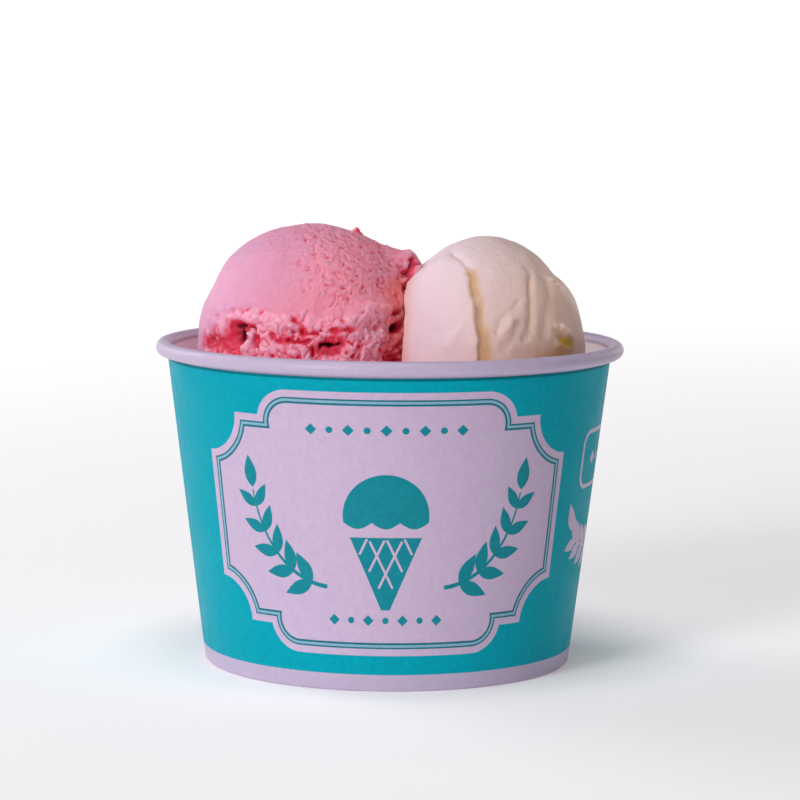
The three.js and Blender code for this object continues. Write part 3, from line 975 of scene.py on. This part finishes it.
def packed_grid(side, middle):
    """Rows: floor out from the middle, wall up to the top's own height, top back to the middle."""
    foot = half_ring(np.full((1, 1), wall_inner(packed_floor) - gap), packed_floor, side)
    out = np.linspace(0, 1, 5)[:, None, None]
    floor = middle + out * (foot - middle)
    brim = packed_top(half_ring(np.full((1, 1), wall_inner(level) - gap), level, side))
    height = packed_floor + np.linspace(0, 1, 24)[1:, None] * (brim - packed_floor)
    sides = half_ring(wall_inner(height) - gap, height, side)
    share = np.linspace(1, 0, 96)[1:, None, None]
    top = middle + share * (sides[-1] - middle)
    flat = np.concatenate([floor, sides, top])
    heights = np.concatenate([np.full(floor.shape[:2], packed_floor), height, packed_top(top)])
    return np.concatenate([flat, heights[..., None]], -1)


strawberry_side = packed_grid(-1, np.array([-18.0, -1.0]))
vanilla_side = packed_grid(1, np.array([20.0, -4.0]))
strawberry_packed = put_mesh("strawberry_packed", [closed_grid(strawberry_side)], 80)
vanilla_packed = put_mesh("vanilla_packed", [closed_grid(vanilla_side)], 80)

# %% [markdown]
# ## Crumbs
#
# Torn gelato sheds crumbs, which cling where it is torn. A crumb is a lumpy little ball of a few
# dozen faces. All of them are worked out as one array of grids: a ball for each, stretched at
# random, and pushed in and out by noise. Only the strawberry is crumbly enough to shed any.


# %% Crumbs
def crumb_bodies(middles, sizes, seed):
    """One closed grid a crumb: middle + size * stretch * direction * (1 + 0.5 * noise)."""
    draw = np.random.default_rng(seed)
    down, turn = np.linspace(0, np.pi, 7)[:, None], np.linspace(0, 2 * np.pi, 9)[None, :-1]
    ball = np.stack([np.sin(down) * np.cos(turn), np.sin(down) * np.sin(turn), np.cos(down) + 0 * turn], -1)
    stretch = draw.uniform(0.7, 1.3, (len(middles), 1, 1, 3))
    lumpy = 1 + 0.5 * noise(ball + draw.uniform(0, 20, (len(middles), 1, 1, 3)), 0.8, seed)
    grids = middles[:, None, None] + sizes[:, None, None, None] * stretch * ball * lumpy[..., None]
    return [closed_grid(grid) for grid in grids]


def crumb_places(scoop, relief_of, turns, heights, sunk):
    """Points just under the scoop's surface, at given turns from the front and heights, and which
    of them are on torn ground."""
    share = (heights - scoop["middle"][2]) / scoop["radii"][2]
    level_radius = np.sqrt(1 - share ** 2)
    out = np.stack([level_radius * np.sin(turns), -level_radius * np.cos(turns), share], -1)
    base = scoop["middle"] + scoop["radii"] * out
    relief, (_, torn) = relief_of(base, scoop)
    return base + (relief - sunk)[:, None] * out, torn > 0.6


draw = np.random.default_rng(31)
crumb_count = 90
crumbs_from, crumbs_over = 57, 12.0
smallest_crumb, crumb_growth = 0.35, 0.6
crumb_turns = draw.uniform(-np.pi, np.pi, crumb_count)
crumb_heights = crumbs_from + crumbs_over * draw.random(crumb_count)
crumb_sizes = smallest_crumb + crumb_growth * draw.random(crumb_count) ** 2
middles, kept = crumb_places(strawberry, strawberry_relief, crumb_turns, crumb_heights, 0.5 * crumb_sizes)
kept &= outside_vanilla(middles) > 1.4 * crumb_sizes
strawberry_crumbs = put_mesh("strawberry_crumbs", crumb_bodies(middles[kept], crumb_sizes[kept], 32), 80)
put_values(strawberry_crumbs, "torn", np.ones(len(strawberry_crumbs.data.vertices)))
print("crumbs kept:", kept.sum(), "of", crumb_count)

# %% [markdown]
# ## Gelato finishes
#
# Gelato is opaque cream full of tiny air bells and ice, so light goes a little way in and comes out
# again: the shader's subsurface does that, and softens the edges of crumbs. Its skin is satin, with
# a fine grain. The colour is painted redder and darker with the depth that each mesh keeps: painted
# shade in the strawberry's cracks, caves and wrinkles, and the yellow streaks of the vanilla. A slow
# slant through space is painted light and shade: each scoop is cooler and paler on its lit left and
# warmer on its shaded right. Red light goes furthest, and would leak out of a crumb that is thinner
# than its way, so crumbs get a shorter one.


# %% Strawberry and vanilla
gelato_reach = 5.0


def gelato_finish(name, shades, lit_to_shaded, depths, shine, glow):
    """Six shades. The first turns to the second along a slanting way through space, given as the way
    and where it starts and ends in millimetres: painted light and shade, the lit side's tint turning
    to the shaded side's. The third comes in where the gelato is torn, and the fourth where the
    flavours meet: partly the flavours mixing, partly a painted reflection of the other scoop. The last
    two deepen it as the depth passes the two spans in `depths`: painted shade in the strawberry's
    cracks, caves and wrinkles, and the vanilla's yellow streaks and pockets. `glow` is how far red,
    green and blue light go in, as shares of `gelato_reach`."""
    gelato = Finish(name, Subsurface_Weight=0.7, Subsurface_Scale=gelato_reach * MM, Subsurface_Radius=glow,
                    Specular_IOR_Level=0.3)
    # painted light and shade: the first shade is the lit side's tint, and the second, soft, the shaded
    # side's
    lit_side_tint, soft, torn, mix_and_reflection, deep, deepest = (colour(*shade) for shade in shades)
    way, start, end = lit_to_shaded
    slope = gelato.node("ShaderNodeVectorMath", {"operation": "DOT_PRODUCT"})
    gelato.feed(slope.inputs[0], gelato.place)
    gelato.feed(slope.inputs[1], way)
    wander = gelato.mix_add(gelato.grain(9.0, 3.0), 9.0 * MM, slope.outputs["Value"])
    # painted light and shade: the lit side's tint turns to the shaded side's along the slant
    base = gelato.blend(gelato.span(wander, start * MM, end * MM), lit_side_tint, soft)
    base = gelato.blend(gelato.span(gelato.value("torn"), 0.2, 1.0, 0.0, 0.75), base, torn)
    # partly the flavours mixing, partly a painted reflection of the other scoop
    base = gelato.blend(gelato.span(gelato.value("mix_and_reflection"), 0.0, 1.0, 0.0, 0.75), base, mix_and_reflection)
    depth = gelato.mix_add(gelato.grain(0.7, 3.0, 0.65), 0.5, gelato.value("depth"))
    first, second = depths
    # Painted shade in the strawberry's cracks; on the vanilla these are its yellow streaks and pockets
    base = gelato.blend(gelato.span(depth, *first), base, deep)
    base = gelato.blend(gelato.span(depth, *second), base, deepest)
    sheen = gelato.span(gelato.grain(2.0), 0.3, 0.7, shine + 0.1, shine - 0.06)
    grain = gelato.bump(gelato.grain(0.5, 3.0, 0.65), 0.08)
    return gelato.finish(base, sheen, gelato.bump(gelato.grain(1.4, 2.0), 0.12, grain))


# The first two shades of each look are painted light and shade, the lit left and the shaded right
strawberry_look = (
    ((218, 156, 188), (244, 152, 172), (255, 176, 200), (255, 116, 104), (232, 66, 96), (112, 8, 26)),
    ((0.9, 0.0, -0.43), -62, -32), ((0.4, 1.3), (1.7, 2.7)), 0.5)
vanilla_look = (
    ((233, 213, 222), (224, 194, 178), (230, 201, 181), (235, 194, 180), (212, 171, 128), (222, 177, 20)),
    ((1.0, 0.0, -0.15), -4, 30), ((0.2, 1.4), (1.9, 2.7)), 0.45)
strawberry_finish = gelato_finish("strawberry_cream", *strawberry_look, (0.85, 0.18, 0.2))
crumb_finish = gelato_finish("strawberry_crumb", *strawberry_look, (0.08, 0.05, 0.05))
vanilla_finish = gelato_finish("vanilla_cream", *vanilla_look, (0.6, 0.42, 0.3))
for piece in (strawberry_scoop, strawberry_packed):
    dress(piece, strawberry_finish, "strawberry_gelato")
dress(strawberry_crumbs, crumb_finish, "strawberry_gelato")
for piece in (vanilla_scoop, vanilla_packed):
    dress(piece, vanilla_finish, "vanilla_gelato")
print("gelato finishes:", [finish.name for finish in (strawberry_finish, crumb_finish, vanilla_finish)])

# %% [markdown]
# ## Ink on the board
#
# The print is a teal field, an unprinted plaque with a fine double border, and a few plain
# ornaments. It could be painted with a picture, but then it would be only as sharp as the picture.
# Each inked area is instead a very thin closed sheet that follows the board, a few hundredths of a
# millimetre proud of it, and later inks lie on earlier ones. An area is drawn flat in millimetres
# across and up, and then wrapped: across becomes an angle round the cup, and up a height. Where the
# roll turns out of the wall hardly any light falls, so a narrow band of darker teal is laid there as
# painted shade, standing in for the roll's shadow.

# %% Flat drawing onto the wall
print_radius = 41.0
ink_root = -0.06
ring_step = 0.9


def wrap(flat, lift, facing, middle_height):
    """Flat points [across, up] onto the wall: angle = facing + across / print_radius, and height =
    middle_height + up. They stand off it by `lift`."""
    angle = facing + flat[..., 0] / print_radius
    height = middle_height + flat[..., 1]
    return on_cup(angle, wall_outer(height) + seam_lift(angle) + lift, height)


def ink_sheet(outline, lift, facing, middle_height, middle=None):
    """A thin closed sheet over an outline that can be seen whole from its middle. Point (t, u) is
    middle + t * (outline(u) - middle): t goes 0 to 1 under the sheet, and back to 0 over it. Its
    rings lie at most `ring_step` apart, so that the sheet bends with the board."""
    middle = outline.mean(axis=0) if middle is None else np.asarray(middle, float)
    reach = np.linalg.norm(outline - middle, axis=1).max()
    share = np.linspace(0, 1, int(reach / ring_step) + 2)[:, None, None]
    flat = middle + share * (outline - middle)
    low = wrap(flat, ink_root, facing, middle_height)
    high = wrap(flat, lift, facing, middle_height)
    return closed_grid(np.concatenate([low, high[::-1]]))


def ink_strip(outer, inner, lift, facing, middle_height):
    """A thin closed strip between two outlines with the same number of points."""
    loops = [wrap(outer, ink_root, facing, middle_height), wrap(outer, lift, facing, middle_height),
             wrap(inner, lift, facing, middle_height), wrap(inner, ink_root, facing, middle_height)]
    return ring_grid(np.stack(loops))


# %% The teal field, and a band of painted shade just under the roll
band_height, field_top = 3.42, roll_foot - 0.4
shade_line_foot, shade_line_top = roll_foot - 0.95, roll_foot - 0.39
field_lift, shade_line_lift = 0.03, 0.05
field_around = all_round(480, seam_angle, seam_angle - 1e-3)


def put_print(name, bodies, material):
    """One printed piece, in ink, or in pale board where it stands for board left bare."""
    dress(put_mesh(name, bodies), material)


def ink_band(low, high, rows, lift):
    """A thin closed sheet all round the wall, from one height up to another."""
    heights = np.linspace(low, high, rows)
    loop = np.concatenate([heights, heights[::-1]])[:, None]
    lifts = np.concatenate([np.full(rows, ink_root), np.full(rows, lift)])[:, None]
    return ring_grid(on_cup(field_around, wall_outer(loop) + seam_lift(field_around) + lifts, loop))


put_print("teal_field", [ink_band(band_height, field_top, 24, field_lift)], teal_ink)
# painted shade: a narrow band of darker teal under the roll, standing in for its shadow
put_print("teal_painted_shade", [ink_band(shade_line_foot, shade_line_top, 3, shade_line_lift)], painted_shade_ink)

# %% [markdown]
# ## The plaque
#
# The plaque is a traditional label shape. Each corner has a convex quarter round, a small step and
# a concave quarter round. Its outline is drawn once for a quarter, with an inset that moves every
# edge inwards by the same amount: a convex arc's radius shrinks by the inset, and a concave one's
# grows. The border's strips are then the bands between two insets.

# %% The plaque's outline
plaque_height = 33.25
plaque_half = np.array([38.6, 26.0])
round_middle, round_radius = np.array([18.5, 19.35]), 6.65
step_up = 20.75
hollow_middle, hollow_radius = np.array([38.6, 20.75]), 8.1


def quarter_outline(inset):
    """Points from the top's middle to the side's middle: top edge, convex arc, step, concave
    arc, side edge."""
    convex = round_radius - inset
    step = step_up - inset
    meet = np.degrees(np.arcsin((step - round_middle[1]) / convex))
    concave = hollow_radius + inset
    off = np.degrees(np.arcsin(inset / concave))
    top = line((0, plaque_half[1] - inset), (round_middle[0], plaque_half[1] - inset), 24)
    first = arc(round_middle, convex, 90, meet, 22)
    second = arc(hollow_middle, concave, 180 + off, 270 - off, 26)
    flat = line(first[-1], second[0], 12)
    side = line(second[-1], (plaque_half[0] - inset, 0), 24)
    return np.concatenate([top[:-1], first[:-1], flat[:-1], second[:-1], side])


def plaque_outline(inset):
    """The quarter, mirrored across and up, as one ring."""
    quarter = quarter_outline(inset)
    right_side = np.concatenate([quarter, (quarter * [1, -1])[-2::-1]])
    return np.concatenate([right_side, (right_side * [-1, 1])[-2:0:-1]])


# %% Plaques on the front and the back
plaque_facing = np.radians(-0.65)
facings = {"front": plaque_facing, "back": plaque_facing + np.pi}
border = (("line_ink", line_ink, 1.4, 1.72), ("pale_ink", pale_ink, 1.72, 2.2),
          ("line_ink_inner", line_ink, 2.2, 2.62))
plaque_lift, border_lift = 0.05, 0.07
for side, facing in facings.items():
    label = ink_sheet(plaque_outline(0), plaque_lift, facing, plaque_height, (0, 0))
    put_print(f"plaque_{side}", [label], plaque_board)
    for name, ink, outer, inner in border:
        strip = ink_strip(plaque_outline(outer), plaque_outline(inner), border_lift, facing, plaque_height)
        put_print(f"{name}_{side}", [strip], ink)

# %% [markdown]
# ## Ornaments
#
# In the plaque stands a plain wafer cone with one scoop, between two sprigs of leaves, with a row of
# dots and diamonds above and below. They are common figures, drawn with a few formulas: a leaf is a
# half sine mirrored about its vein, a stem is an arc that tapers, and the scoop's lower edge is a
# row of scallops. A small frame with the same figures fills the right side of the cup.


# %% Flat figures
def moved(outline, turn=0.0, shift=(0, 0)):
    """Turns a flat outline by an angle in degrees about (0, 0), then shifts it."""
    c, s = np.cos(np.radians(turn)), np.sin(np.radians(turn))
    return outline @ np.array([[c, s], [-s, c]]) + shift


def leaf(length, width):
    """Along t from 0 to 1 the edges stand +-width / 2 * sin(pi * t ^ 0.8) off the vein."""
    t = np.linspace(0, 1, 15)
    edge = np.stack([length * t, width / 2 * np.sin(np.pi * t ** 0.8)], -1)
    return np.concatenate([edge, (edge * [1, -1])[-2:0:-1]])


def dot(size):
    """A round spot, `size` across."""
    return arc((0, 0), size / 2, 0, 345, 24)


def diamond(size):
    """A square on its corner, `size` from corner to corner."""
    corners = size / 2 * np.array([(1, 0), (0, 1), (-1, 0), (0, -1)])
    ends = np.roll(corners, -1, 0)
    return np.concatenate([line(corner, end, 6)[:-1] for corner, end in zip(corners, ends)])


def scoop_figure(size, scallops=3):
    """A round top, closed below by scallops: y = -depth * |sin| across the width."""
    top = arc((0, 0), size, -8, 188, 50)
    t = np.linspace(0, 1, 49)[1:-1, None]
    low = top[-1] + t * (top[0] - top[-1])
    low[:, 1:] -= 0.15 * size * np.abs(np.sin(np.pi * scallops * t))
    return np.concatenate([top, low])


def ink_line(path, width, lift, facing, middle_height):
    """A thin closed line of ink along a flat path, of one width or one for each point."""
    along = np.gradient(path, axis=0)
    along /= np.linalg.norm(along, axis=1, keepdims=True)
    off = np.stack([-along[:, 1], along[:, 0]], -1) * np.reshape(width, (-1, 1)) / 2
    sides = ((path + off, ink_root), (path + off, lift), (path - off, lift), (path - off, ink_root))
    return closed_grid(np.stack([wrap(flat, rise, facing, middle_height) for flat, rise in sides], 1))


# %% Cone, sprig and rows of dots
figure_lift, line_lift = 0.07, 0.09
cone_half, cone_top, cone_tip, cone_foot = 7.0, -2.4, 0.9, -16.8
scoop_size, scoop_up = 8.3, 1.7
wafer_line_width = 0.45
sprig_place = np.array([10.5, -12.5])
row_above, row_below, row_step = 18.6, -18.9, 3.5
leaf_angle = 42


def cone_shapes():
    """Outlines of the cone's wafer and the scoop on it."""
    top = [(-cone_half, cone_top), (cone_half, cone_top)]
    wafer = np.array(top + [(cone_tip, cone_foot), (-cone_tip, cone_foot)])
    edges = [line(start, end, 14)[:-1] for start, end in zip(wafer, np.roll(wafer, -1, 0))]
    return [np.concatenate(edges), moved(scoop_figure(scoop_size), 0, (0, scoop_up))]


def wafer_lines():
    """Lines across the wafer, each parallel to one of its slanting sides."""
    tip = np.array([0.0, cone_foot])
    lines = []
    for share in (0.25, 0.5, 0.75):
        for side in (-1, 1):
            near, far = (np.array([which * cone_half, cone_top]) - tip for which in (side, -side))
            start = tip + share * near
            lines.append(line(start, start + (1 - share) * far, 12))
    return lines


def sprig(reach=17.0, rise=21.0, pairs=5):
    """A stem along a quarter of an ellipse, [reach * sin(t), rise * (1 - cos(t))], and outlines of
    its leaves: a pair at each step, `leaf_angle` degrees off the stem and smaller towards its tip,
    and one at the tip."""
    t = np.linspace(0.05, np.pi / 2 * 0.93, 40)
    stem = np.stack([reach * np.sin(t), rise * (1 - np.cos(t))], -1)
    along = np.gradient(stem, axis=0)
    heading = np.degrees(np.arctan2(along[:, 1], along[:, 0]))
    leaves = [moved(leaf(6.4, 2.9), heading[-1], stem[-1])]
    for step in range(pairs):
        index = 6 + step * 7
        size = 6.6 - 0.35 * step
        for off in (leaf_angle, -leaf_angle):
            leaves.append(moved(leaf(size, 0.42 * size), heading[index] + off, stem[index]))
    return stem, leaves


def dot_row(count, spacing):
    """Diamonds and dots in turn, spaced evenly about the middle."""
    places = (np.arange(count) - (count - 1) / 2) * spacing
    return [moved(dot(1.3) if i % 2 else diamond(2.2), 0, (x, 0)) for i, x in enumerate(places)]


def put_ornament(name, facing, material):
    """Cone, scoop, two sprigs and two rows of dots, as one piece."""
    stem, leaves = sprig()
    mirrored = [[(shape + sprig_place) * [side, 1] for shape in leaves] for side in (-1, 1)]
    above = [moved(shape, 0, (0, row_above)) for shape in dot_row(9, row_step)]
    below = [moved(shape, 0, (0, row_below)) for shape in dot_row(7, row_step)]
    outlines = cone_shapes() + mirrored[0] + mirrored[1] + above + below
    bodies = [ink_sheet(outline, figure_lift, facing, plaque_height) for outline in outlines]
    taper = np.linspace(0.9, 0.3, len(stem))
    for side in (-1, 1):
        path = (stem + sprig_place) * [side, 1]
        bodies.append(ink_line(path, taper, figure_lift, facing, plaque_height))
    put_print(name, bodies, material)


def put_wafer_lines(name, facing, material):
    """The wafer's lines as one piece, pale like the board, since no ink was laid there."""
    bodies = [ink_line(path, wafer_line_width, line_lift, facing, plaque_height) for path in wafer_lines()]
    put_print(name, bodies, material)


for side, facing in facings.items():
    put_ornament(f"ornament_{side}", facing, figure_ink)
    put_wafer_lines(f"wafer_lines_{side}", facing, plaque_board)

# %% The small frame on the right side
side_facing = np.radians(91.0)
frame_middle, frame_half, frame_corner = 43.2, np.array([19.0, 6.0]), 3.2
sprig_middle = 24.3


def round_frame(inset):
    """A rectangle with round corners, all its edges moved inwards by the inset."""
    radius = frame_corner - inset
    inner = frame_half - frame_corner
    corners = [((sx * inner[0], sy * inner[1]), start) for sx, sy, start in
               ((1, 1, 0), (-1, 1, 90), (-1, -1, 180), (1, -1, 270))]
    arcs = [arc(middle, radius, start, start + 90, 12) for middle, start in corners]
    edges = [line(now[-1], after[0], 14)[1:-1] for now, after in zip(arcs, arcs[1:] + arcs[:1])]
    return np.concatenate([part for pair in zip(arcs, edges) for part in pair])


bodies = [ink_strip(round_frame(0), round_frame(0.8), plaque_lift, side_facing, frame_middle)]
bodies += [ink_sheet(shape * 1.3, plaque_lift, side_facing, frame_middle) for shape in dot_row(7, 3.2)]
stem, leaves = sprig(18.0, 5.2, 4)
for side in (-1, 1):
    place = np.array([side * 1.2, 0.0])
    turned = [shape * [side, 1] + place for shape in leaves]
    bodies += [ink_sheet(shape, plaque_lift, side_facing, sprig_middle) for shape in turned]
    bodies.append(ink_line(stem * [side, 1] + place, 0.6, plaque_lift, side_facing, sprig_middle))
put_print("side_print", bodies, plaque_board)

# %% [markdown]
# ## The studio
#
# The cup stands on a white paper sweep: a floor that curves up all round into a low wall, like a
# very wide bowl, so no horizon shows from any side. A plane would do for one camera, but not for a
# part that is looked at from everywhere.

# %% Sweep
sweep_radius, sweep_bend, sweep_thickness = 2600.0, 900.0, 10.0
sweep_profile = np.concatenate([
    line((0, 0), (sweep_radius - sweep_bend, 0), 30),
    arc((sweep_radius - sweep_bend, sweep_bend), sweep_bend, -90, -15, 24)[1:],
])
sweep_around = np.linspace(0, 2 * np.pi, 97)[:-1]
sweep_ring = np.concatenate([sweep_profile - [0, sweep_thickness], sweep_profile[::-1]])
sweep = put_mesh("sweep", [closed_grid(on_cup(sweep_around, sweep_ring[:, :1], sweep_ring[:, 1:]))], 60)
sweep_paint = Finish("white_sweep", Roughness=0.9, Specular_IOR_Level=0.2, Emission_Color=(1, 1, 1, 1),
                     Emission_Strength=0.15)
sweep_shade = sweep_paint.blend(sweep_paint.grain(60.0), (0.93, 0.93, 0.93, 1), (0.95, 0.95, 0.95, 1))
sweep.data.materials.append(sweep_paint.finish(sweep_shade))

# %% [markdown]
# ## Light
#
# One soft lamp stands at the front left, not much above the cup, and gives it its shape: the left
# is bright and the right falls into shade, and its light reaches under the torn gelato. A second
# one overhead lights the tops of the scoops, and one behind at the left reaches the far inside of
# the cup. A weak warm one behind at the right edges the shaded side. The sky is almost dark, so
# that the shade stays deep, and the paper glows a little, which keeps it white. The largest lamp
# shines on the sweep's far side alone.


# %% Lamps and sky
def soft_light(name, place, size, power, tint, target=(0, 0, 0.05)):
    """A square lamp at a place in metres, facing the cup or another target."""
    lamp = bpy.data.lights.new(name, "AREA")
    lamp.shape = "SQUARE"
    lamp.size = size
    lamp.energy = power
    lamp.color = tint
    thing = bpy.data.objects.new(name, lamp)
    thing.location = place
    aim = Vector(target) - Vector(place)
    thing.rotation_euler = aim.to_track_quat("-Z", "Y").to_euler()
    bpy.context.scene.collection.objects.link(thing)
    print(f"{name} lamp: {power} watts")


soft_light("main", (-0.76, -1.05, 0.46), 0.4, 9.3, (1.0, 0.98, 1.0))
soft_light("top", (-0.1, -0.3, 1.34), 0.6, 7.3, (1.0, 0.98, 1.0))
soft_light("back_left", (-0.95, 0.65, 0.6), 0.6, 4.6, (1.0, 0.96, 1.0))
soft_light("back_right", (0.8, 0.9, 0.45), 0.4, 1.1, (1.0, 0.95, 0.92))
soft_light("backdrop", (0.0, 1.3, 1.6), 1.5, 27, (1.0, 1.0, 1.0), (0.0, 2.7, 0.3))
world = bpy.data.worlds.new("studio")
world.use_nodes = True
sky = world.node_tree.nodes["Background"]
sky.inputs["Color"].default_value = (1.0, 0.97, 0.98, 1)
sky.inputs["Strength"].default_value = 0.03
bpy.context.scene.world = world
bpy.context.scene.view_settings.view_transform = "Standard"
